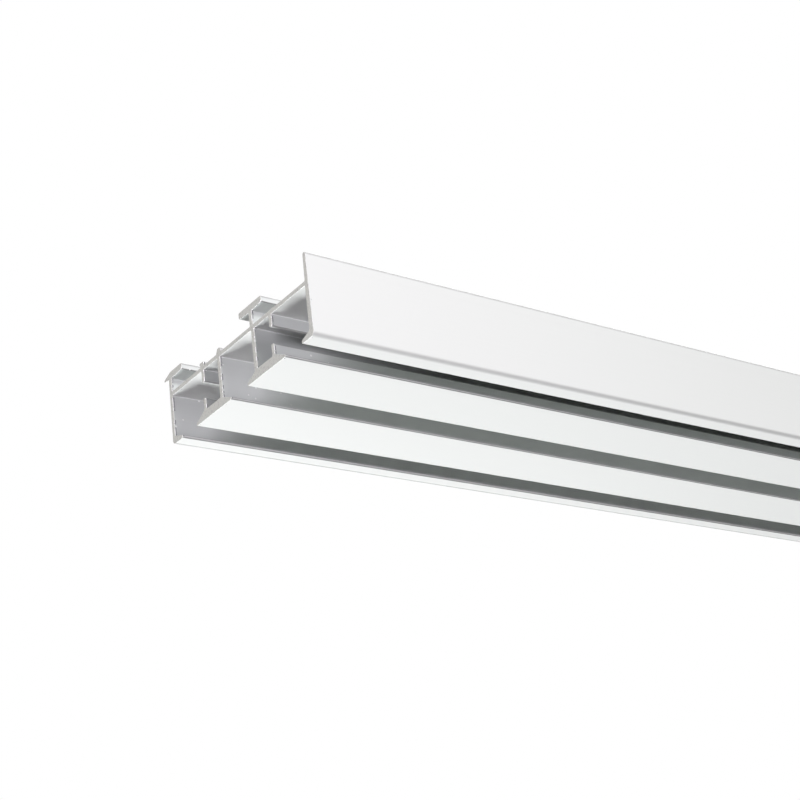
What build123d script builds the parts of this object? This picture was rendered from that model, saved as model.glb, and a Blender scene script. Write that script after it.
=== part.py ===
"""Three-channel ceiling curtain track, one aluminium extrusion with square-cut ends.

A level web carries a tall front fascia, two inner walls on wedge-edged feet, and a rear wall.
They enclose three running channels, which open downwards through three slots. Each outer channel
has an upstanding lip and a hanging rib that guide the gliders. Above the web stand a T flange and
a rear flange with a bent-down edge, which a ceiling clip grips, with a ridge and a bead between.

X runs along the track, Y from the fascia to the rear wall, Z up. The origin is at the middle of
the underside. Sizes are in millimetres. In the section, "across" counts from the middle plane
between the fascia face and the rear wall face, "up" from the level of the two outer lips.
"""

import os

from build123d import *

# Overall
track_length = 1400.0
body_depth = 58.0
body_height = 12.9
fascia_height = 19.3

# Web and walls
web_thickness = 1.0
fascia_thickness = 1.2
fascia_foot_thickness = 1.4
fascia_top_thickness = 0.9
rear_wall_thickness = 1.1
inner_wall_thickness = 1.15
inner_wall_spacing = 14.3

# Slots, and the wedge lips under the fascia and the rear wall
side_slot = 6.35
middle_slot = 6.8
edge_lip_reach = 4.4
edge_lip_root = 2.2
edge_lip_tip = 0.7

# Feet of the inner walls, toe at the side slot and heel at the middle slot
foot_floor = 2.35
foot_tip = 0.55
foot_lift = 0.1
heel_root = 2.0

# Guide lips and ribs of the two outer channels
guide_setback = 3.6
guide_thickness = 1.0
guide_lip_top = 5.1
guide_rib_drop = 2.9

# Flanges above the web
flange_top = 18.0
flange_root = 1.75
flange_tip = 1.45
t_flange_width = 9.0
t_flange_place = 6.85
stem_thickness = 1.1
rear_flange_reach = 5.9
rear_edge_overhang = 2.0
rear_edge_bend = 0.8
rear_edge_drop = 1.0
rear_edge_tip = 0.5

# Beads above the web, a tapered ridge over the rear inner wall and a capped bead over the rear rib
ridge_height = 1.15
ridge_foot = 2.2
ridge_tip = 1.0
ridge_place = 6.9
bead_height = 1.05
bead_width = 1.75
bead_cap = 0.7
bead_neck = 1.05
bead_place = 14.3

# Rounding
fascia_corner_radius = 1.05
rear_corner_radius = 0.95
inner_radius = 0.3
edge_radius = 0.25

# Levels and places that follow from the sizes above
half_depth = body_depth / 2
web_underside = body_height - web_thickness
fascia_inside = half_depth - fascia_thickness
rear_wall_inside = half_depth - rear_wall_thickness
lip_tip = half_depth - edge_lip_reach
toe = lip_tip - side_slot
heel = middle_slot / 2
guide_front = toe - guide_setback
guide_middle = guide_front - guide_thickness / 2
guide_rear = guide_front - guide_thickness
rib_bottom = web_underside - guide_rib_drop
wall_middle = inner_wall_spacing / 2
wall_front = wall_middle + inner_wall_thickness / 2
wall_rear = wall_middle - inner_wall_thickness / 2
t_front = -t_flange_place - t_flange_width / 2
t_rear = -t_flange_place + t_flange_width / 2
stem_front = -t_flange_place - stem_thickness / 2
stem_rear = -t_flange_place + stem_thickness / 2
flange_underside = flange_top - flange_root
rear_flange_front = half_depth - rear_flange_reach
rear_edge = half_depth + rear_edge_overhang
ridge_top = body_height + ridge_height
bead_top = body_height + bead_height
section_plane = Plane(
    origin=(-track_length / 2, -rear_edge_overhang / 2, 0), x_dir=(0, 1, 0), z_dir=(1, 0, 0)
)


def upright(middle, thickness, bottom, top):
    """An upright strip of the section: a wall, a stem, a lip or a rib."""
    with Locations((middle, bottom)):
        Rectangle(thickness, top - bottom, align=(Align.CENTER, Align.MIN))


def both_sides(*places):
    """These (across, up) places and their mirror images behind the middle plane."""
    return [(side * across, up) for side in (-1, 1) for across, up in places]


def round_off(places, radius, wall):
    """Rounds the section's corners nearest to these places, no more than the wall allows."""
    nearest = [section.vertices().sort_by_distance((across, up, 0))[0] for across, up in places]
    fillet(nearest, min(radius, 0.45 * wall))


with BuildPart() as track_profile:
    with BuildSketch(section_plane) as section:
        # wedge lip under the fascia
        with BuildLine():
            Polyline(
                (-half_depth, 0),
                (-lip_tip, 0),
                (-lip_tip, edge_lip_tip),
                (-half_depth, edge_lip_root),
                close=True,
            )
        make_face()

        # front foot, with its inner wall, guide lip and guide rib
        with BuildLine():
            Polyline(
                (-toe, foot_lift),
                (-toe, foot_lift + foot_tip),
                (-guide_front, foot_floor),
                (-wall_middle, foot_floor),
                (-wall_rear, heel_root),
                (-heel, foot_lift + foot_tip),
                (-heel, foot_lift),
                close=True,
            )
        make_face()
        upright(-wall_middle, inner_wall_thickness, heel_root, web_underside)
        upright(-guide_middle, guide_thickness, foot_floor, guide_lip_top)
        upright(-guide_middle, guide_thickness, rib_bottom, web_underside)

        # the same lip, foot, wall and guides behind
        mirror(about=Plane.YZ)

        # web and rear wall
        with Locations((0, web_underside)):
            Rectangle(body_depth, web_thickness, align=(Align.CENTER, Align.MIN))
        upright(half_depth - rear_wall_thickness / 2, rear_wall_thickness, 0, flange_underside)

        # fascia, thinner above the web
        with BuildLine():
            Polyline(
                (-half_depth, 0),
                (-half_depth, fascia_height),
                (-half_depth + fascia_top_thickness, fascia_height),
                (-fascia_inside, web_underside),
                (-half_depth + fascia_foot_thickness, 0),
                close=True,
            )
        make_face()

        # T flange over the front inner wall
        upright(-t_flange_place, stem_thickness, body_height, flange_top)
        with BuildLine():
            Polyline(
                (t_front, flange_top),
                (t_rear, flange_top),
                (t_rear, flange_top - flange_tip),
                (stem_rear, flange_underside),
                (stem_front, flange_underside),
                (t_front, flange_top - flange_tip),
                close=True,
            )
        make_face()

        # rear flange, whose outer edge is bent down past the rear wall
        with BuildLine():
            Polyline(
                (rear_flange_front, flange_top),
                (half_depth - rear_edge_bend, flange_top),
                (rear_edge, flange_top - rear_edge_drop),
                (rear_edge, flange_top - rear_edge_drop - rear_edge_tip),
                (half_depth, flange_underside),
                (rear_wall_inside, flange_underside),
                (rear_flange_front, flange_top - flange_tip),
                close=True,
            )
        make_face()

        # tapered ridge over the rear inner wall
        with BuildLine():
            Polyline(
                (ridge_place - ridge_foot / 2, body_height),
                (ridge_place - ridge_tip / 2, ridge_top),
                (ridge_place + ridge_tip / 2, ridge_top),
                (ridge_place + ridge_foot / 2, body_height),
                close=True,
            )
        make_face()

        # capped bead over the rear guide rib
        upright(bead_place, bead_neck, body_height, bead_top - bead_cap / 2)
        with Locations((bead_place, bead_top)):
            SlotOverall(bead_width, bead_cap, align=(Align.CENTER, Align.MAX))

        # outer corners of the fascia and the rear wall
        round_off([(-half_depth, 0)], fascia_corner_radius, fascia_thickness * 2)
        round_off([(half_depth, 0)], rear_corner_radius, rear_wall_thickness * 2)
        round_off(
            [(-half_depth, fascia_height), (-half_depth + fascia_top_thickness, fascia_height)],
            edge_radius,
            fascia_top_thickness,
        )

        # tips of the lips and feet
        round_off(both_sides((lip_tip, 0), (lip_tip, edge_lip_tip)), edge_radius, edge_lip_tip)
        round_off(
            both_sides(
                (toe, foot_lift),
                (toe, foot_lift + foot_tip),
                (heel, foot_lift),
                (heel, foot_lift + foot_tip),
            ),
            edge_radius,
            foot_tip,
        )

        # free ends of the guide lips and ribs
        round_off(
            both_sides(
                (guide_front, guide_lip_top),
                (guide_rear, guide_lip_top),
                (guide_front, rib_bottom),
                (guide_rear, rib_bottom),
            ),
            guide_thickness / 2,
            guide_thickness,
        )

        # ends of the flanges
        round_off(
            [
                (t_front, flange_top),
                (t_front, flange_top - flange_tip),
                (t_rear, flange_top),
                (t_rear, flange_top - flange_tip),
                (rear_flange_front, flange_top),
                (rear_flange_front, flange_top - flange_tip),
            ],
            edge_radius,
            flange_tip,
        )
        round_off(
            [
                (rear_edge, flange_top - rear_edge_drop),
                (rear_edge, flange_top - rear_edge_drop - rear_edge_tip),
            ],
            edge_radius,
            rear_edge_tip,
        )

        # tip and foot of the ridge above the web
        round_off(
            [(ridge_place - ridge_tip / 2, ridge_top), (ridge_place + ridge_tip / 2, ridge_top)],
            ridge_tip / 2,
            ridge_tip,
        )
        round_off(
            [
                (ridge_place - ridge_foot / 2, body_height),
                (ridge_place + ridge_foot / 2, body_height),
            ],
            inner_radius,
            web_thickness,
        )

        # inside corners under the web and on the feet
        round_off(
            both_sides(
                (wall_front, web_underside),
                (wall_rear, web_underside),
                (guide_front, web_underside),
                (guide_rear, web_underside),
                (guide_rear, foot_floor),
                (wall_front, foot_floor),
                (wall_rear, heel_root),
            ),
            inner_radius,
            inner_wall_thickness,
        )
        round_off(
            [
                (-fascia_inside, web_underside),
                (-half_depth + fascia_foot_thickness, edge_lip_root),
                (rear_wall_inside, web_underside),
                (rear_wall_inside, edge_lip_root),
            ],
            inner_radius,
            rear_wall_thickness,
        )

        # inside corners above the web
        round_off(
            [
                (-fascia_inside, body_height),
                (rear_wall_inside, body_height),
                (stem_front, body_height),
                (stem_rear, body_height),
                (stem_front, flange_underside),
                (stem_rear, flange_underside),
                (rear_wall_inside, flange_underside),
                (half_depth, flange_underside),
            ],
            inner_radius,
            stem_thickness,
        )
    extrude(amount=track_length)

track_profile.part.label = "track_profile"
os.makedirs("parts", exist_ok=True)
export_step(track_profile.part, "parts/track_profile.step")
print("track_profile volume", round(track_profile.part.volume), "mm3")
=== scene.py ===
# %% [markdown]
# # A curtain track, fresh from the saw
#
# The real thing is one long bar of extruded aluminium. A press pushes soft metal through a steel
# die, so every slice across the bar has the same outline. The bar is then sprayed with white
# powder, baked, and sawn to length. This lesson dresses the imported model of that bar: it carries
# one rounded outline along the track, and gives the surface its coat, painted shade in the channels
# and along some edges, and its saw cuts. The imported model is the frame. It says where everything
# is, and it is never moved.

# %% Load the frame
import math

import bpy
import numpy as np
from mathutils import Matrix, Vector
from mathutils.geometry import delaunay_2d_cdt


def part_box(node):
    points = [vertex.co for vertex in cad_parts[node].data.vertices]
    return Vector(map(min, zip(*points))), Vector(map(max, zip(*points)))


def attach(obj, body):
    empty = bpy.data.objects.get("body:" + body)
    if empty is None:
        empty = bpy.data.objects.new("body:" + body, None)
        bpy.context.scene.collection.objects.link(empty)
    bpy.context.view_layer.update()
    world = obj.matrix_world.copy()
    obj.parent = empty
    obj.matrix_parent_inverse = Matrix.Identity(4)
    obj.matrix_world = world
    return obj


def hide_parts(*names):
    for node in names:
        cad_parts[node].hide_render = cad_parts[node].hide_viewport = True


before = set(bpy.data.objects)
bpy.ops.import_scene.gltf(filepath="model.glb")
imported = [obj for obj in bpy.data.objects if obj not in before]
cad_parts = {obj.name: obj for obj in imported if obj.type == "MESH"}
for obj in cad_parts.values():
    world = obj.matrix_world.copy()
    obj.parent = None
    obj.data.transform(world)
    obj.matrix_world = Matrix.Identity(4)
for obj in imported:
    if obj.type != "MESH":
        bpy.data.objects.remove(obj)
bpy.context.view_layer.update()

low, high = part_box("track_profile")
print("track from", [round(v, 4) for v in low], "to", [round(v, 4) for v in high])

# %% [markdown]
# ## The sizes of the section
#
# The sizes are in millimetres, as on a die maker's drawing. They were measured in the photograph,
# with the depth taken as 60 mm. "Across" counts from the middle plane between the fascia and the
# rear wall, and "up" from the underside. The frame gives the length and where the section stands,
# so that only the outline's own sizes are written here.

# %% Sizes of the section, in millimetres
MM = 0.001
half_depth = 29.0
web_underside, web_top = 11.9, 12.9
fascia_height, fascia_top_thickness, fascia_foot_thickness = 19.3, 0.9, 1.4
fascia_inside, rear_wall_inside = 27.8, 27.9
lip_tip, lip_tip_height, lip_root_height = 24.6, 0.7, 2.2
toe, heel, foot_level, foot_edge, foot_floor, heel_root = 18.25, 3.4, 0.1, 0.65, 2.35, 2.0
guide_front, guide_rear, guide_lip_top, rib_bottom = 14.65, 13.65, 5.1, 9.0
wall_front, wall_rear = 7.725, 6.575
flange_top, flange_edge, flange_underside = 18.0, 16.55, 16.25
t_front, t_rear, stem_front, stem_rear = -11.35, -2.35, -7.4, -6.3
rear_flange_front, rear_edge = 23.1, 31.0
rear_bend, rear_edge_top, rear_edge_foot = 28.2, 17.0, 16.5
ridge_place, ridge_foot, ridge_tip, ridge_top = 6.9, 2.2, 1.0, 14.05
bead_place, bead_neck, bead_width, bead_foot, bead_top = 14.3, 1.05, 1.75, 13.25, 13.95

fascia_round, fascia_top_round, rear_round = 1.05, 0.4, 0.95
tip_round, toe_round, guide_round, ridge_round, bead_round = 0.25, 0.24, 0.45, 0.45, 0.29
fillet_round, die_edge = 0.2, 0.04

section_shift = (low.y + high.y) / 2 / MM - (rear_edge - half_depth) / 2
track_half = (high.x - low.x) / 2 / MM
print("half length", track_half, "mm, section shifted", round(section_shift, 3), "mm")

# %% [markdown]
# ## The outline, corner by corner
#
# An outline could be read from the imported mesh, but its points don't say which corner they round,
# and the coat below depends on how sharply each corner bends. So the outline is a list of corners,
# each with the radius of its rounding, walked clockwise: up the fascia, along the top, down the rear
# wall and back along the underside. The two inner walls stand on feet that mirror each other, so one
# is written out and the other is made from it.


# %% The corners of the top
def fascia_inside_at(up):
    """How far across the fascia's inner face stands at this height. It leans, as the fascia thins."""
    across = (fascia_foot_thickness - half_depth, -fascia_inside, fascia_top_thickness - half_depth)
    return float(np.interp(up, (0, web_underside, fascia_height), across))


fascia_corners = [
    (-half_depth, 0, fascia_round),
    (-half_depth, fascia_height, fascia_top_round),
    (fascia_top_thickness - half_depth, fascia_height, fascia_top_round),
    (fascia_inside_at(web_top), web_top, fillet_round),
]
t_flange_corners = [
    (stem_front, web_top, fillet_round),
    (stem_front, flange_underside, fillet_round),
    (t_front, flange_edge, tip_round),
    (t_front, flange_top, tip_round),
    (t_rear, flange_top, tip_round),
    (t_rear, flange_edge, tip_round),
    (stem_rear, flange_underside, fillet_round),
    (stem_rear, web_top, fillet_round),
]
ridge_corners = [
    (ridge_place - ridge_foot / 2, web_top, fillet_round),
    (ridge_place - ridge_tip / 2, ridge_top, ridge_round),
    (ridge_place + ridge_tip / 2, ridge_top, ridge_round),
    (ridge_place + ridge_foot / 2, web_top, fillet_round),
]
bead_corners = [
    (bead_place - bead_neck / 2, web_top, die_edge),
    (bead_place - bead_neck / 2, bead_foot, die_edge),
    (bead_place - bead_width / 2, bead_foot, bead_round),
    (bead_place - bead_width / 2, bead_top, bead_round),
    (bead_place + bead_width / 2, bead_top, bead_round),
    (bead_place + bead_width / 2, bead_foot, bead_round),
    (bead_place + bead_neck / 2, bead_foot, die_edge),
    (bead_place + bead_neck / 2, web_top, die_edge),
]
rear_flange_corners = [
    (rear_wall_inside, web_top, fillet_round),
    (rear_wall_inside, flange_underside, fillet_round),
    (rear_flange_front, flange_edge, tip_round),
    (rear_flange_front, flange_top, tip_round),
    (rear_bend, flange_top, fillet_round),
    (rear_edge, rear_edge_top, toe_round),
    (rear_edge, rear_edge_foot, toe_round),
    (half_depth, flange_underside, fillet_round),
]
top_corners = (
    fascia_corners + t_flange_corners + ridge_corners + bead_corners + rear_flange_corners
)
print(len(top_corners), "corners on the top")


# %% The corners of the underside
def lip_top_at(across):
    """Height of a wedge lip's upper face, this far across from the middle plane."""
    return float(np.interp(across, (lip_tip, half_depth), (lip_tip_height, lip_root_height)))


rear_lip_corners = [
    (half_depth, 0, rear_round),
    (lip_tip, 0, tip_round),
    (lip_tip, lip_tip_height, tip_round),
    (rear_wall_inside, lip_top_at(rear_wall_inside), fillet_round),
    (rear_wall_inside, web_underside, fillet_round),
]
rear_foot_corners = [
    (guide_front, web_underside, fillet_round),
    (guide_front, rib_bottom, guide_round),
    (guide_rear, rib_bottom, guide_round),
    (guide_rear, web_underside, fillet_round),
    (wall_front, web_underside, fillet_round),
    (wall_front, foot_floor, fillet_round),
    (guide_rear, foot_floor, fillet_round),
    (guide_rear, guide_lip_top, guide_round),
    (guide_front, guide_lip_top, guide_round),
    (guide_front, foot_floor, die_edge),
    (toe, foot_edge, toe_round),
    (toe, foot_level, toe_round),
    (heel, foot_level, toe_round),
    (heel, foot_edge, toe_round),
    (wall_rear, heel_root, fillet_round),
    (wall_rear, web_underside, fillet_round),
]
front_foot_corners = [(-across, up, radius) for across, up, radius in reversed(rear_foot_corners)]
fascia_lip_height = lip_top_at(-fascia_inside_at(lip_root_height))
front_lip_corners = [
    (-fascia_inside, web_underside, fillet_round),
    (fascia_inside_at(fascia_lip_height), fascia_lip_height, fillet_round),
    (-lip_tip, lip_tip_height, tip_round),
    (-lip_tip, 0, tip_round),
]
corners = np.array(
    top_corners + rear_lip_corners + rear_foot_corners + front_foot_corners + front_lip_corners
)
print(len(corners), "corners in the outline")

# %% [markdown]
# ## Rounding and dividing the outline
#
# A corner of radius r whose sides turn by an angle t becomes an arc. The arc starts r·tan(t/2)
# before the corner and ends as far after it, and its outward normal turns evenly from the normal of
# one side to that of the next. Keeping those exact normals matters more than many points: the flat
# faces then stay flat in the light right up to the arc.
#
# Each point also carries how sharply it bends, which sets a grey line of painted shade along sharp
# outer bends. Four long corners get this painted shade as well, which widens their grey line.


# %% Arcs at the corners
def turned(vectors, angle):
    """The plane vectors turned by these angles, counterclockwise."""
    cos, sin = np.cos(angle), np.sin(angle)
    x, y = vectors[..., 0], vectors[..., 1]
    return np.stack([x * cos - y * sin, x * sin + y * cos], -1)


def rounded(corners, steps):
    """The outline with an arc at each corner, as points, outward normals and how sharp each bends.

    Point = arc centre - side * r * normal, where side is +1 in an inner corner and -1 in an outer
    one. Sharpness is 2 * tip_round / r * sin(pi * share of the arc) ** 2, at most 1, in outer
    corners, and 0 in inner ones.
    """
    place, radius = corners[:, :2], corners[:, 2]
    along = np.roll(place, -1, 0) - place
    along /= np.linalg.norm(along, axis=1, keepdims=True)
    before = np.roll(along, 1, 0)
    turn = np.arctan2(
        before[:, 0] * along[:, 1] - before[:, 1] * along[:, 0], (before * along).sum(1)
    )
    side = np.sign(turn)
    normal_before = turned(before, np.pi / 2)
    start = place - before * (radius * np.tan(np.abs(turn) / 2))[:, None]
    centre = start + normal_before * (side * radius)[:, None]
    share = np.linspace(0, 1, steps)
    normals = turned(normal_before[:, None], turn[:, None] * share)
    points = centre[:, None] - normals * (side * radius)[:, None, None]
    wave = np.sin(np.pi * share) ** 2
    outer = (2 * tip_round / radius[:, None] * wave).clip(0, 1)
    sharp = np.where(side[:, None] < 0, outer, 0.0)
    return points.reshape(-1, 2), normals.reshape(-1, 2), sharp.ravel()


arc_steps = 9
arc_points, arc_normals, arc_edge_shade = rounded(corners, arc_steps)
print(len(arc_points), "points on the arcs")


# %% More points along the straight sides
def divided(points, normals, sharp, longest):
    """Adds points on each stretch longer than this, spaced evenly: point = start + share * stretch."""
    ahead = np.roll(points, -1, 0)
    pieces = np.ceil(np.linalg.norm(ahead - points, axis=1) / longest).astype(int).clip(1)
    stretch = np.repeat(np.arange(len(points)), pieces)
    number = np.arange(len(stretch)) - np.repeat(np.cumsum(pieces) - pieces, pieces)
    share = (number / pieces[stretch])[:, None]
    following = (stretch + 1) % len(points)
    mixed = normals[stretch] * (1 - share) + normals[following] * share
    mixed /= np.linalg.norm(mixed, axis=1, keepdims=True)
    return (
        points[stretch] * (1 - share) + points[following] * share,
        mixed,
        sharp[stretch] * (1 - share[:, 0]) + sharp[following] * share[:, 0],
    )


longest_step = 0.3
outline, outline_normals, outline_edge_shade = divided(arc_points, arc_normals, arc_edge_shade, longest_step)
steps_along = np.linalg.norm(np.roll(outline, -1, 0) - outline, axis=1)
outline_run = np.cumsum(steps_along) - steps_along
print(len(outline), "points round an outline of", round(steps_along.sum(), 1), "mm")


# %% Corners with lines of painted shade
fascia_edge_shade, flange_edge_shade, rear_edge_shade = 0.45, 0.6, 0.8


def add_edge_shade(sharp, place, radius, least_shade, fade=0.3):
    """At least this much painted shade on the corner's arc, which fades out beside it: 1 - beyond /
    fade.
    """
    beyond = np.linalg.norm(outline - place, axis=1) - radius
    return np.maximum(sharp, least_shade * (1 - beyond / fade).clip(0, 1))


# Lines of painted shade along four long corners.
outline_edge_shade = add_edge_shade(outline_edge_shade, (-half_depth, fascia_height), fascia_top_round, fascia_edge_shade)
outline_edge_shade = add_edge_shade(outline_edge_shade, (t_front, flange_top), tip_round, flange_edge_shade)
outline_edge_shade = add_edge_shade(outline_edge_shade, (rear_flange_front, flange_top), tip_round, flange_edge_shade)
outline_edge_shade = add_edge_shade(outline_edge_shade, (half_depth, 0), rear_round, rear_edge_shade)
print("corner sharpness from", round(outline_edge_shade.min(), 2), "to", round(outline_edge_shade.max(), 2))

# %% [markdown]
# ## How open each point is
#
# The coat is greyed as painted shade where the section shuts a point in, most deeply inside a
# narrow channel. So this shade could be painted by hand, but it can also be worked out:
# from each point of the outline rays fan out within the plane of the section, and the share that
# gets away without meeting metal says how open the point is. Faces that look down gain a fixed
# share, a painted light for the light that comes up through the slots. Nothing on the top is shut in
# as the channels are, so there the openness has a least value.


# %% Openness of each point
def openness(points, normals, sides, rays=181, widest=1.5, lift=0.03, parallel=1e-9):
    """Share of rays, weighted by the cosine to the normal, that leave each point and meet no side.

    The rays fan out to the widest angle on both sides of the normal, from just above the surface.
    A ray o + t*d meets the side a + u*(b - a) where t > 0 and 0 <= u <= 1.
    """
    start = points + normals * lift
    end = np.roll(sides, -1, 0) - sides
    gap = sides[None] - start[:, None]
    along_gap = gap[..., 0] * end[:, 1] - gap[..., 1] * end[:, 0]
    free, total = np.zeros(len(points)), 0.0
    for angle in np.linspace(-widest, widest, rays):
        ray = turned(normals, angle)[:, None]
        turn = ray[..., 0] * end[:, 1] - ray[..., 1] * end[:, 0]
        turn = np.where(np.abs(turn) < parallel, parallel, turn)
        distance = along_gap / turn
        place = (gap[..., 0] * ray[..., 1] - gap[..., 1] * ray[..., 0]) / turn
        met = (distance > 0) & (place >= 0) & (place <= 1)
        free += math.cos(angle) * ~met.any(1)
        total += math.cos(angle)
    return free / total


# Faces that look down are painted lighter by the first share, a painted light from below. On the top,
# the openness, and so the painted shade, has the second as its least value.
downward_painted_light, top_least = 0.45, 0.19
# the first, middle and last points of each arc are sides enough for the rays to meet
plain_sides = arc_points.reshape(-1, arc_steps, 2)[:, :: (arc_steps - 1) // 2].reshape(-1, 2)
outline_open = openness(outline, outline_normals, plain_sides)
downward_light_share = downward_painted_light * (-outline_normals[:, 1]).clip(0, 1)
on_top = outline[:, 1] > (web_underside + web_top) / 2
outline_open = np.where(on_top, outline_open.clip(top_least), outline_open + downward_light_share).clip(0, 1)
print("openness from", round(outline_open.min(), 3), "to", round(outline_open.max(), 3))

# %% [markdown]
# ## The bar as one surface
#
# The surface has two parameters: the run round the outline and the place along the track. Four
# rings are enough along the track: at each end one on the saw cut, drawn in by the filed edge, and
# one just behind it. In the photograph the inner walls that face the front have the widest bright
# edges, as a file pushed by hand from the front leaves them. The width wanders as a sum of three
# sine waves of unlike lengths. The edge runs half as far again along the bar as it cuts in.


# %% The filed edge
filed_least, filed_most, filed_slope = 0.03, 0.13, 1.5
filed_wander, left_phase, right_phase = 0.2, 0.4, 2.9
wave_lengths = ((0.31, 1), (0.47, 2), (0.83, 1))


def filed_edge(phase):
    """Width: the least, and more on enclosed walls that face the front, times a sum of sines.

    Each wave is sin(run / length + times * phase). The three take off up to two fifths of it.
    """
    waves = sum(np.sin(outline_run / length + times * phase) for length, times in wave_lengths)
    wander = 1 - filed_wander + filed_wander * waves / len(wave_lengths)
    inner_front = (-outline_normals[:, 0]).clip(0, 1) * (1 - outline_open)
    return filed_least + (filed_most - filed_least) * inner_front * wander


left_filed, right_filed = filed_edge(left_phase), filed_edge(right_phase)
print("filed edge", round(left_filed.min(), 3), "to", round(left_filed.max(), 3), "mm wide")


# %% Rings of the surface
def ring(at, inset):
    """The outline at these places along the track, drawn in along its normals, in metres."""
    at, inset = np.broadcast_to(at, len(outline)), np.broadcast_to(inset, len(outline))
    drawn = outline - outline_normals * inset[:, None]
    return np.stack([at, drawn[:, 0] + section_shift, drawn[:, 1]], 1) * MM


left_cut, right_cut = ring(-track_half, left_filed), ring(track_half, right_filed)
behind_left = ring(filed_slope * left_filed - track_half, 0)
behind_right = ring(track_half - filed_slope * right_filed, 0)
rings = np.stack([left_cut, behind_left, behind_right, right_cut])
around = len(outline)
print("rings of", around, "points at", [round(float(r[0, 0]), 5) for r in rings])


# %% Faces between the rings and over the cuts
def band(first):
    """Quads between ring number first and the next, wound so that they face outwards."""
    here = first * around + np.arange(around)
    after = first * around + (np.arange(around) + 1) % around
    return np.stack([here, here + around, after + around, after], 1)


def cut_face(ring_points, offset, flip):
    """Triangles that fill a cut, from the Delaunay rule that keeps them as plump as it can."""
    inside_only, closest = 1, 1e-7
    flat = [Vector(point[1:] / MM) for point in ring_points]
    filled = delaunay_2d_cdt(flat, [], [list(range(around))], inside_only, closest)
    triangles, origins = filled[2:4]
    triangles = np.array([[origins[corner][0] for corner in triangle] for triangle in triangles])
    spread = ring_points[triangles][..., 1:]
    one, two = spread[:, 1] - spread[:, 0], spread[:, 2] - spread[:, 0]
    clockwise = (one[:, 0] * two[:, 1] - one[:, 1] * two[:, 0]) < 0
    wrong = clockwise != flip
    triangles[wrong] = triangles[wrong][:, ::-1]
    return triangles + offset


side_faces = np.concatenate([band(1), band(0), band(2)])
left_face = cut_face(left_cut, 0, True)
right_face = cut_face(right_cut, 3 * around, False)
print(len(side_faces), "quads along the bar,", len(left_face) + len(right_face), "triangles on cuts")


# %% The mesh, with exact normals and two attributes
def build_track():
    """The mesh of the whole bar. Material 0 is the coat, 1 the filed edge and 2 the sawn face."""
    mesh = bpy.data.meshes.new("curtain_track")
    faces = side_faces.tolist() + left_face.tolist() + right_face.tolist()
    mesh.from_pydata(rings.reshape(-1, 3).tolist(), [], faces)
    kinds = np.repeat([0, 1, 2], [around, 2 * around, len(left_face) + len(right_face)])
    mesh.polygons.foreach_set("material_index", kinds.astype(np.int32))
    mesh.polygons.foreach_set("use_smooth", kinds == 0)
    # The first attribute sets the painted shade in enclosed places, the second the line of painted
    # shade along outer bends.
    for name, values in (("painted_shade_openness", outline_open), ("painted_edge_shade", outline_edge_shade)):
        layer = mesh.attributes.new(name, "FLOAT", "POINT")
        layer.data.foreach_set("value", np.tile(values, 4).astype(np.float32))
    return mesh


def set_normals(mesh):
    """The coat's corners take the outline's exact normals, and all others those of their faces."""
    loops = np.empty(len(mesh.loops), np.int32)
    mesh.loops.foreach_get("vertex_index", loops)
    kinds = np.empty(len(mesh.polygons), np.int32)
    mesh.polygons.foreach_get("material_index", kinds)
    corners_of = np.empty(len(mesh.polygons), np.int32)
    mesh.polygons.foreach_get("loop_total", corners_of)
    flat = np.empty(len(mesh.polygons) * 3, np.float32)
    mesh.polygons.foreach_get("normal", flat)
    normals = np.repeat(flat.reshape(-1, 3), corners_of, 0)
    coated = np.repeat(kinds == 0, corners_of)
    smooth = np.hstack([np.zeros((around, 1)), outline_normals])[loops % around]
    normals[coated] = smooth[coated]
    mesh.normals_split_custom_set(normals.tolist())


track_mesh = build_track()
set_normals(track_mesh)
track = bpy.data.objects.new("curtain_track", track_mesh)
bpy.context.collection.objects.link(track)
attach(track, "root")
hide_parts("track_profile")
print("curtain_track:", len(track_mesh.vertices), "points,", len(track_mesh.polygons), "faces")

# %% [markdown]
# ## Shader helpers
#
# Materials here are small networks. They could be wired node by node, but the wiring would hide what
# they do. So a few helpers add a node and fill its inputs, make and place a group, and give a short
# name to what turns up most: a sum, a smooth step, a noise and a blend of two colours.


# %% Adding nodes and groups
def node(tree, kind, inputs=None, **settings):
    """Adds a node, sets its properties, and then links or sets its inputs by name or number."""
    made = tree.nodes.new(kind)
    for name, value in settings.items():
        setattr(made, name, value)
    for name, value in (inputs or {}).items():
        if isinstance(value, bpy.types.NodeSocket):
            tree.links.new(value, made.inputs[name])
        else:
            made.inputs[name].default_value = value
    return made


def maths(tree, operation, *values, clamp=False):
    """A Math node's result. Each value is a number or a socket."""
    inputs = dict(enumerate(values))
    return node(tree, "ShaderNodeMath", inputs, operation=operation, use_clamp=clamp).outputs[0]


def group(name, inputs, outputs):
    """A new shader group. Inputs are {name: default} and outputs {name: socket type}."""
    tree = bpy.data.node_groups.new(name, "ShaderNodeTree")
    for title, default in inputs.items():
        kind = "NodeSocketFloat" if isinstance(default, float) else "NodeSocketVector"
        socket = tree.interface.new_socket(title, in_out="INPUT", socket_type=kind)
        socket.default_value = default
    for title, kind in outputs.items():
        tree.interface.new_socket(title, in_out="OUTPUT", socket_type=kind)
    return tree, tree.nodes.new("NodeGroupInput").outputs, tree.nodes.new("NodeGroupOutput").inputs


def use(tree, shared, inputs=None):
    """Places a shared group in a material and returns its outputs."""
    placed = tree.nodes.new("ShaderNodeGroup")
    placed.node_tree = shared
    for name, value in (inputs or {}).items():
        if isinstance(value, bpy.types.NodeSocket):
            tree.links.new(value, placed.inputs[name])
        else:
            placed.inputs[name].default_value = value
    return placed.outputs


def place_on(tree):
    """The Object coordinates: metres, in the frame of the thing that wears the material."""
    return tree.nodes.new("ShaderNodeTexCoord").outputs["Object"]


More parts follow.
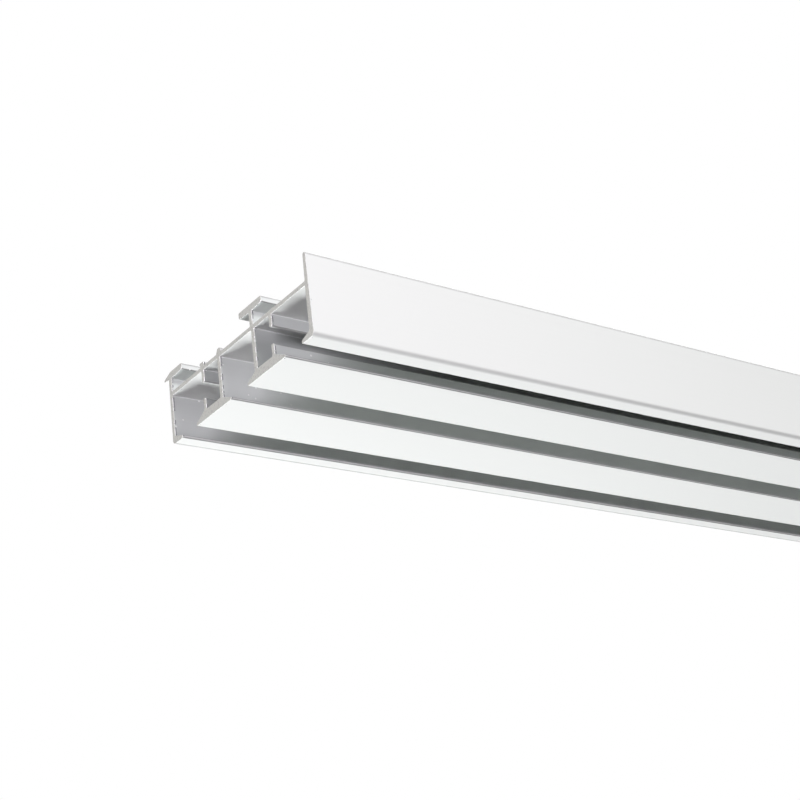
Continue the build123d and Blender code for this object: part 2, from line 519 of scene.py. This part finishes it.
def remap(tree, value, low_in, high_in, low_out=0.0, high_out=1.0):
    """A smooth step from one output to the other as the value goes from low_in to high_in."""
    inputs = {"Value": value, "From Min": low_in, "From Max": high_in}
    inputs |= {"To Min": low_out, "To Max": high_out}
    return node(tree, "ShaderNodeMapRange", inputs, interpolation_type="SMOOTHSTEP").outputs[0]


def noise(tree, place, scale, detail):
    """Noise between 0 and 1, with this many patches a metre where the place is in metres."""
    inputs = {"Vector": place, "Scale": scale, "Detail": detail}
    return node(tree, "ShaderNodeTexNoise", inputs).outputs[0]


def blend(tree, share, first, second):
    """The colour that goes from the first to the second with the share."""
    inputs = {"Factor": share, "A": first, "B": second}
    mixed = node(tree, "ShaderNodeMix", data_type="RGBA")
    for name, value in inputs.items():
        socket = next(s for s in mixed.inputs if s.name == name and s.enabled)
        if isinstance(value, bpy.types.NodeSocket):
            tree.links.new(value, socket)
        else:
            socket.default_value = value
    return next(s for s in mixed.outputs if s.enabled)


print("shader helpers ready")

# %% [markdown]
# ## Effects on the coat
#
# The die leaves faint straight lines along the bar, and the baked powder has a very fine orange
# peel. Within a few centimetres of a cut lie specks of swarf, the tiny chips that the saw throws,
# and at the cut itself the brittle coat has chipped, the chips darkened with painted shade. Each
# effect is a group of its own, which puts out heights or masks, so that it can be changed or used
# again without touching the finish.


# %% Die lines and orange peel
line_squeeze, peel_scale = (1.5, 1400.0, 1400.0), 900.0


def make_die_lines():
    """Lines along X are noise on coordinates whose X is squeezed; the peel is noise left alone."""
    tree, given, out = group(
        "die_lines_and_peel",
        {"line_height": 0.4, "peel_height": 0.6},
        {"height": "NodeSocketFloat", "tone": "NodeSocketFloat"},
    )
    squeezed = node(
        tree, "ShaderNodeMapping", {"Vector": place_on(tree), "Scale": line_squeeze}
    ).outputs[0]
    lines = noise(tree, squeezed, 1.0, 2.0)
    peel = noise(tree, place_on(tree), peel_scale, 1.0)
    height = maths(
        tree,
        "ADD",
        maths(tree, "MULTIPLY", lines, given["line_height"]),
        maths(tree, "MULTIPLY", peel, given["peel_height"]),
    )
    tree.links.new(height, out["height"])
    tree.links.new(lines, out["tone"])
    return tree


die_lines = make_die_lines()
print("group:", die_lines.name)


# %% Distance from the nearest saw cut
def make_cut_distance():
    """Millimetres to the nearer end: (half length - |x|) / 0.001."""
    tree, _, out = group("distance_from_cut", {}, {"millimetres": "NodeSocketFloat"})
    along = node(tree, "ShaderNodeSeparateXYZ", {0: place_on(tree)}).outputs["X"]
    inward = maths(tree, "SUBTRACT", track_half * MM, maths(tree, "ABSOLUTE", along))
    tree.links.new(maths(tree, "DIVIDE", inward, MM), out["millimetres"])
    return tree


cut_distance = make_cut_distance()
print("group:", cut_distance.name)


# %% Swarf near a cut
speck_rim, speck_core = 0.15, 0.08


def make_swarf():
    """Specks round the centres of Voronoi cells, in this share of them, drawn by their colour."""
    tree, given, out = group(
        "swarf", {"cells_per_metre": 480.0, "share": 0.5}, {"specks": "NodeSocketFloat"}
    )
    cells = node(
        tree,
        "ShaderNodeTexVoronoi",
        {"Vector": place_on(tree), "Scale": given["cells_per_metre"], "Randomness": 1.0},
    )
    drawn = node(tree, "ShaderNodeSeparateColor", {0: cells.outputs["Color"]}).outputs[0]
    chosen = maths(tree, "LESS_THAN", drawn, given["share"])
    near = remap(tree, cells.outputs["Distance"], speck_rim, speck_core)
    tree.links.new(maths(tree, "MULTIPLY", chosen, near), out["specks"])
    return tree


swarf = make_swarf()
print("group:", swarf.name)


# %% The coat's broken edge at a cut
chip_scale, chip_level, chip_rim = 1100.0, 0.75, 0.02
chips_thin_out, chips_end = 0.4, 0.65
coverage_gain, inward_rise = 0.5, 0.5


def make_broken_edge():
    """Chips within about half a millimetre of the cut: noise above a level that rises inwards."""
    tree, given, out = group("broken_edge", {"coverage": 0.5}, {"chips": "NodeSocketFloat"})
    inward = use(tree, cut_distance)["millimetres"]
    ragged = noise(tree, place_on(tree), chip_scale, 2.0)
    lowered = maths(tree, "MULTIPLY", given["coverage"], coverage_gain)
    level = maths(tree, "SUBTRACT", chip_level, lowered)
    rise = remap(tree, inward, chips_thin_out, chips_end, 0.0, inward_rise)
    level = maths(tree, "ADD", level, rise)
    over = maths(tree, "SUBTRACT", ragged, level)
    tree.links.new(remap(tree, over, -chip_rim, chip_rim), out["chips"])
    return tree


broken_edge = make_broken_edge()
print("group:", broken_edge.name)

# %% [markdown]
# ## The white powder coat
#
# The coat is a white satin paint over aluminium. It is greyed as painted shade deep in the
# channels, and along sharp outer bends as a narrow line of painted shade. The two attributes on
# the mesh say where that is, so the finish needs no painted picture.

# %% Colours and measures of the coat
coat_white = (0.874, 0.873, 0.856, 1)
# The two greys after the white are painted shade: one for enclosed places and one for the most
# enclosed.
coat_in_painted_shade = (0.75, 0.77, 0.757, 1)
coat_in_deep_painted_shade = (0.43, 0.455, 0.44, 1)
# Grey for the line of painted shade along outer bends, and for the tone of the die lines.
edge_shade_and_line_grey = (0.28, 0.28, 0.275, 1)
# Dark grey of the chips at a cut: chipped coat, its bare metal darkened as painted shade.
chip_shade_dark = (0.27, 0.27, 0.28, 1)
swarf_silver = (0.93, 0.93, 0.92, 1)
# Openness below which the painted shade is deepest, and above which there is none.
deep_shade_until, painted_shade_ends_at = 0.25, 0.75
# The first tints the die lines; the second sets how strongly the painted shade line on outer bends
# shows.
line_tone, edge_shade_strength = 0.02, 0.9
dust_far, dust_near, dust_height, chip_depth = 26.0, 3.0, 6.0, 4.0
chips_least, chips_inside = 0.12, 0.4
open_rough, enclosed_rough = 0.42, 0.36
coat_relief = (0.000012, 0.6)
print("coat thin below an openness of", deep_shade_until, "and thick above", painted_shade_ends_at)


def new_material(name):
    """A material with an empty network, and its Principled BSDF joined to the output."""
    material = bpy.data.materials.new(name)
    material.use_nodes = True
    tree = material.node_tree
    tree.nodes.clear()
    surface = tree.nodes.new("ShaderNodeBsdfPrincipled")
    out = tree.nodes.new("ShaderNodeOutputMaterial")
    tree.links.new(surface.outputs[0], out.inputs["Surface"])
    return material, tree, surface


def relief(tree, surface, height, distance, strength):
    """A height of 1 seems to raise the surface by the distance in metres. The strength fades it in."""
    bump = node(tree, "ShaderNodeBump", {"Height": height, "Distance": distance, "Strength": strength})
    tree.links.new(bump.outputs[0], surface.inputs["Normal"])


# %% The coat
def powder_coat():
    """White where the section is open, greyed as painted shade where it is shut in and along outer
    bends, chipped and dusty near the cuts.
    """
    material, tree, surface = new_material("white_powder_coat")
    open_share = node(tree, "ShaderNodeAttribute", attribute_name="painted_shade_openness").outputs["Fac"]
    edge_shade = node(tree, "ShaderNodeAttribute", attribute_name="painted_edge_shade").outputs["Fac"]
    lines = use(tree, die_lines, {"line_height": 0.13, "peel_height": 0.5})
    inward = use(tree, cut_distance)["millimetres"]
    specks = use(tree, swarf)["specks"]

    # Painted shade: the coat greys as the point is more enclosed.
    unshaded = remap(tree, open_share, deep_shade_until, painted_shade_ends_at)
    enclosed = maths(tree, "SUBTRACT", 1.0, unshaded)
    out_of_deep_shade = maths(tree, "DIVIDE", open_share, deep_shade_until, clamp=True)
    base = blend(tree, out_of_deep_shade, coat_in_deep_painted_shade, coat_in_painted_shade)
    base = blend(tree, unshaded, base, coat_white)
    base = blend(tree, maths(tree, "MULTIPLY", lines["tone"], line_tone), base, edge_shade_and_line_grey)
    # A line of painted shade along outer bends and the four corners.
    base = blend(tree, maths(tree, "MULTIPLY", edge_shade, edge_shade_strength, clamp=True), base, edge_shade_and_line_grey)
    dust = maths(tree, "MULTIPLY", specks, remap(tree, inward, dust_far, dust_near))
    dust = maths(tree, "MULTIPLY", dust, enclosed)
    base = blend(tree, dust, base, swarf_silver)
    normal = tree.nodes.new("ShaderNodeTexCoord").outputs["Normal"]
    backward = node(tree, "ShaderNodeSeparateXYZ", {0: normal}).outputs["Y"]
    forward = maths(tree, "MULTIPLY", backward, -1.0, clamp=True)
    inner_front = maths(tree, "MULTIPLY", forward, enclosed)
    coverage = maths(tree, "MULTIPLY_ADD", inner_front, chips_inside, chips_least)
    chips = use(tree, broken_edge, {"coverage": coverage})["chips"]
    # The chips: chipped coat, darkened as painted shade.
    base = blend(tree, chips, base, chip_shade_dark)
    tree.links.new(base, surface.inputs["Base Color"])

    rough = remap(tree, enclosed, 0.0, 1.0, open_rough, enclosed_rough)
    tree.links.new(rough, surface.inputs["Roughness"])
    height = maths(tree, "MULTIPLY_ADD", dust, dust_height, lines["height"])
    height = maths(tree, "MULTIPLY_ADD", chips, -chip_depth, height)
    relief(tree, surface, height, *coat_relief)
    return material


coat = powder_coat()
print("finish:", coat.name)

# %% [markdown]
# ## The saw cut
#
# A circular saw leaves shallow curved marks. Here they are rings round one centre well below the
# bar, blurred by a little noise. The filed edge is the same bare metal, polished by the file, with a
# painted highlight in short bright dashes.

# %% Bare metal at the ends
bare_metal = (0.56, 0.56, 0.522, 1)
torn_metal = (0.40, 0.395, 0.385, 1)
# Bright colour of the filed edge's dashes: a painted highlight.
painted_highlight_metal = (0.90, 0.90, 0.89, 1)
blade_radius, tooth_mark, mark_wander = 0.125, 0.00042, 0.00035
blade_centre = (0.0, -0.030, -blade_radius)
grit_scale, untorn, torn_through = 1900.0, 0.50, 0.36
mark_tone, torn_share, torn_least = 0.3, 0.6, 0.2
sawn_metallic, groove_rough, crest_rough = 0.6, 0.48, 0.38
sawn_relief = (0.00002, 0.5)
print("blade marks", tooth_mark / MM, "mm apart, on rings round", blade_centre)


def blade_marks(tree, grit):
    """Sine of the distance from the blade's middle, 2*pi*(distance + wander * grit) / tooth mark."""
    inputs = {0: place_on(tree), 1: blade_centre}
    from_blade = node(tree, "ShaderNodeVectorMath", inputs, operation="SUBTRACT").outputs[0]
    parts = node(tree, "ShaderNodeSeparateXYZ", {0: from_blade}).outputs
    flat = node(tree, "ShaderNodeCombineXYZ", {"Y": parts["Y"], "Z": parts["Z"]}).outputs[0]
    away = node(tree, "ShaderNodeVectorMath", {0: flat}, operation="LENGTH").outputs["Value"]
    away = maths(tree, "MULTIPLY_ADD", grit, mark_wander, away)
    turns = maths(tree, "MULTIPLY", away, 2 * math.pi / tooth_mark)
    return maths(tree, "MULTIPLY_ADD", maths(tree, "SINE", turns), 0.5, 0.5)


def sawn_face():
    """Bare aluminium, brighter on the tooth marks' crests and torn dark here and there."""
    material, tree, surface = new_material("sawn_aluminium")
    grit = noise(tree, place_on(tree), grit_scale, 3.0)
    marks = blade_marks(tree, grit)
    torn = remap(tree, grit, untorn, torn_through)
    tone = maths(tree, "SUBTRACT", maths(tree, "MULTIPLY", marks, mark_tone), torn)
    dull = maths(tree, "MULTIPLY_ADD", tone, -torn_share, torn_least, clamp=True)
    base = blend(tree, dull, bare_metal, torn_metal)
    tree.links.new(base, surface.inputs["Base Color"])
    surface.inputs["Metallic"].default_value = sawn_metallic
    rough = remap(tree, marks, 0.0, 1.0, groove_rough, crest_rough)
    tree.links.new(rough, surface.inputs["Roughness"])
    relief(tree, surface, tone, *sawn_relief)
    return material


sawn = sawn_face()
print("finish:", sawn.name)


# %% The filed edge's metal
dash_scale, dash_from, dash_full = 1100.0, 0.45, 0.55
filed_metallic, dull_rough, polished_rough = 0.35, 0.5, 0.28
filed_relief = (0.00003, 0.5)


def filed_face():
    """Polished metal with a painted highlight, broken into dashes by noise along the edge."""
    material, tree, surface = new_material("filed_aluminium")
    patches = noise(tree, place_on(tree), dash_scale, 2.0)
    highlight_dash = remap(tree, patches, dash_from, dash_full)
    # The bright dashes are a painted highlight.
    tree.links.new(blend(tree, highlight_dash, bare_metal, painted_highlight_metal), surface.inputs["Base Color"])
    surface.inputs["Metallic"].default_value = filed_metallic
    rough = remap(tree, highlight_dash, 0.0, 1.0, dull_rough, polished_rough)
    tree.links.new(rough, surface.inputs["Roughness"])
    relief(tree, surface, patches, *filed_relief)
    return material


filed = filed_face()
for finish in (coat, filed, sawn):
    track_mesh.materials.append(finish)
print("finishes:", [material.name for material in track_mesh.materials])

# %% [markdown]
# ## Floor and world
#
# The photograph looks up at the track from below, against plain white. The floor lies just under
# the track: from above it is pale and takes the track's shadow, and from below it is clear. Only the
# camera sees it, so that it neither lights the track nor shows in its gloss. It could be a white
# floor that the lamps light, but lamps this near would leave hard pools on it. So it mostly glows by
# itself, and reflects just enough to take a faint shadow. Seen straight, in gloss or through glass,
# the world is pure white. As a light it is far dimmer, so that the lamps give the track its shape.

# %% The floor
floor_half, floor_gap, floor_near, floor_far = 20.0, 0.0002, 0.70, 1.0
fade_from, fade_to = 1.0, 4.0
floor_grey = (0.08, 0.08, 0.08, 1)


def make_floor():
    """A wide pale square just under the track, which glows evenly near it and white far off, so
    that it meets the white world with no edge. It reflects a little light too, and so takes shadows."""
    level = low.z - floor_gap
    mesh = bpy.data.meshes.new("floor")
    turns = ((-1, -1), (1, -1), (1, 1), (-1, 1))
    floor_corners = [(x * floor_half, y * floor_half, level) for x, y in turns]
    mesh.from_pydata(floor_corners, [], [(0, 1, 2, 3)])
    floor = bpy.data.objects.new("floor", mesh)
    bpy.context.collection.objects.link(floor)
    material, tree, surface = new_material("pale_floor")
    surface.inputs["Base Color"].default_value = floor_grey
    surface.inputs["Roughness"].default_value = 1.0
    surface.inputs["Specular IOR Level"].default_value = 0.0
    surface.inputs["Emission Strength"].default_value = 1.0
    away = node(tree, "ShaderNodeVectorMath", {0: place_on(tree)}, operation="LENGTH").outputs["Value"]
    glow = remap(tree, away, fade_from, fade_to, floor_near, floor_far)
    tree.links.new(glow, surface.inputs["Emission Color"])
    clear = tree.nodes.new("ShaderNodeBsdfTransparent")
    below = tree.nodes.new("ShaderNodeNewGeometry").outputs["Backfacing"]
    either = node(tree, "ShaderNodeMixShader", {0: below, 1: surface.outputs[0], 2: clear.outputs[0]})
    out = next(n for n in tree.nodes if n.type == "OUTPUT_MATERIAL")
    tree.links.new(either.outputs[0], out.inputs["Surface"])
    mesh.materials.append(material)
    for ray in ("diffuse", "glossy", "transmission", "shadow"):
        setattr(floor, "visible_" + ray, False)
    return level


print("floor at", round(make_floor(), 5), "m")

# %% The world
world_light = 0.12


def make_world():
    """White where it is seen, reflected or looked through, and world_light where it only lights."""
    world = bpy.data.worlds.new("studio")
    bpy.context.scene.world = world
    world.use_nodes = True
    tree = world.node_tree
    tree.nodes.clear()
    path = tree.nodes.new("ShaderNodeLightPath").outputs
    seen = maths(tree, "MAXIMUM", path["Is Camera Ray"], path["Is Glossy Ray"])
    seen = maths(tree, "MAXIMUM", seen, path["Is Transmission Ray"])
    strength = maths(tree, "MULTIPLY_ADD", seen, 1.0 - world_light, world_light)
    sky = node(tree, "ShaderNodeBackground", {"Color": (1, 1, 1, 1), "Strength": strength})
    out = tree.nodes.new("ShaderNodeOutputWorld")
    tree.links.new(sky.outputs[0], out.inputs["Surface"])


make_world()
print("world lights at", world_light)

# %% [markdown]
# ## Lamps
#
# The bar is long and thin, so long strip lamps run beside it, in front, below, above and behind.
# Near the cut end they give way to smaller lamps, which light it as in the photograph: a key from
# the front and a little above, a wide low lamp from the left, and a strong one from below and behind,
# which makes the undersides of the feet the brightest faces and lays a bright line along each
# channel. No lamp cuts through the floor's level, because it would draw a hard line on the floor.

# %% The lamps
aim_height = 0.01
cut_end = Vector((-track_half * MM, 0.0, aim_height))


def panel(name, aim_along, leftward, elevation, distance, sides, watts, colour=(1, 1, 1)):
    """A soft light of these two sides. It faces a point this far along the track from the cut end,
    and stands off it by the distance, turned leftward from the front and up by the elevation."""
    light = bpy.data.lights.new(name, "AREA")
    light.shape, light.energy, light.color = "RECTANGLE", watts, colour
    light.size, light.size_y = sides
    lamp = bpy.data.objects.new(name, light)
    bpy.context.collection.objects.link(lamp)
    turn, rise = math.radians(leftward), math.radians(elevation)
    away = Vector((-math.sin(turn) * math.cos(rise), -math.cos(turn) * math.cos(rise), math.sin(rise)))
    lamp.location = cut_end + Vector((aim_along, 0, 0)) + away * distance
    lamp.rotation_euler = away.to_track_quat("Z", "Y").to_euler()


violet_white, green_white, cyan_white = (0.97, 0.91, 1), (0.95, 1, 0.97), (0.965, 0.995, 1)
panel("front_strip", 0.90, 0, 20, 0.50, (1.1, 0.12), 2.0, green_white)
panel("low_strip", 0.90, 180, -61, 0.45, (1.1, 0.15), 0.95, cyan_white)
panel("top_strip", 0.78, 180, 70, 0.80, (1.5, 0.40), 5.4)
panel("rear_strip", 0.75, 180, 15, 0.90, (1.4, 0.30), 3.0)
panel("right_end", 1.40, -50, 30, 0.80, (0.4, 0.4), 2.0)
panel("key_near", 0.0, 0, 20, 0.38, (0.08, 0.08), 0.52, green_white)
panel("side_front_left", 0.0, 51, -6.5, 0.67, (0.40, 0.12), 3.55, violet_white)
panel("low_behind", -0.05, 180, -61, 0.55, (0.187, 0.187), 2.90, cyan_white)

# %% [markdown]
# ## The camera
#
# The long edges of the bar, its uprights and the edges across it run to three vanishing points in
# the photograph. Those give the lens and the way the camera is turned, and the size of the cut end
# gives how far off it stands.

# %% The camera
picture_px, focal_px = 800, 1606.489
camera_place = (-0.869649, -0.261647, -0.146299)
heading, pitch, roll = 39.2756, 24.3126, 7.6952


def make_camera():
    """Looks up at the cut end. Heading turns from +Y to +X, pitch is above level, roll clockwise."""
    data = bpy.data.cameras.new("camera")
    data.sensor_width = 36.0
    data.lens = data.sensor_width * focal_px / picture_px
    data.clip_start, data.clip_end = 0.01, 100.0
    camera = bpy.data.objects.new("camera", data)
    bpy.context.collection.objects.link(camera)
    aim = (
        Matrix.Rotation(-math.radians(heading), 4, "Z")
        @ Matrix.Rotation(math.radians(90 + pitch), 4, "X")
        @ Matrix.Rotation(-math.radians(roll), 4, "Z")
    )
    camera.matrix_world = Matrix.Translation(camera_place) @ aim
    bpy.context.scene.camera = camera
    return data.lens


print("camera with a lens of", round(make_camera(), 2), "mm")

# %% [markdown]
# ## The view
#
# The picture is taken with the plain Standard view, so that a colour shows as it was written.

# %% Finish
bpy.context.scene.view_settings.view_transform = "Standard"
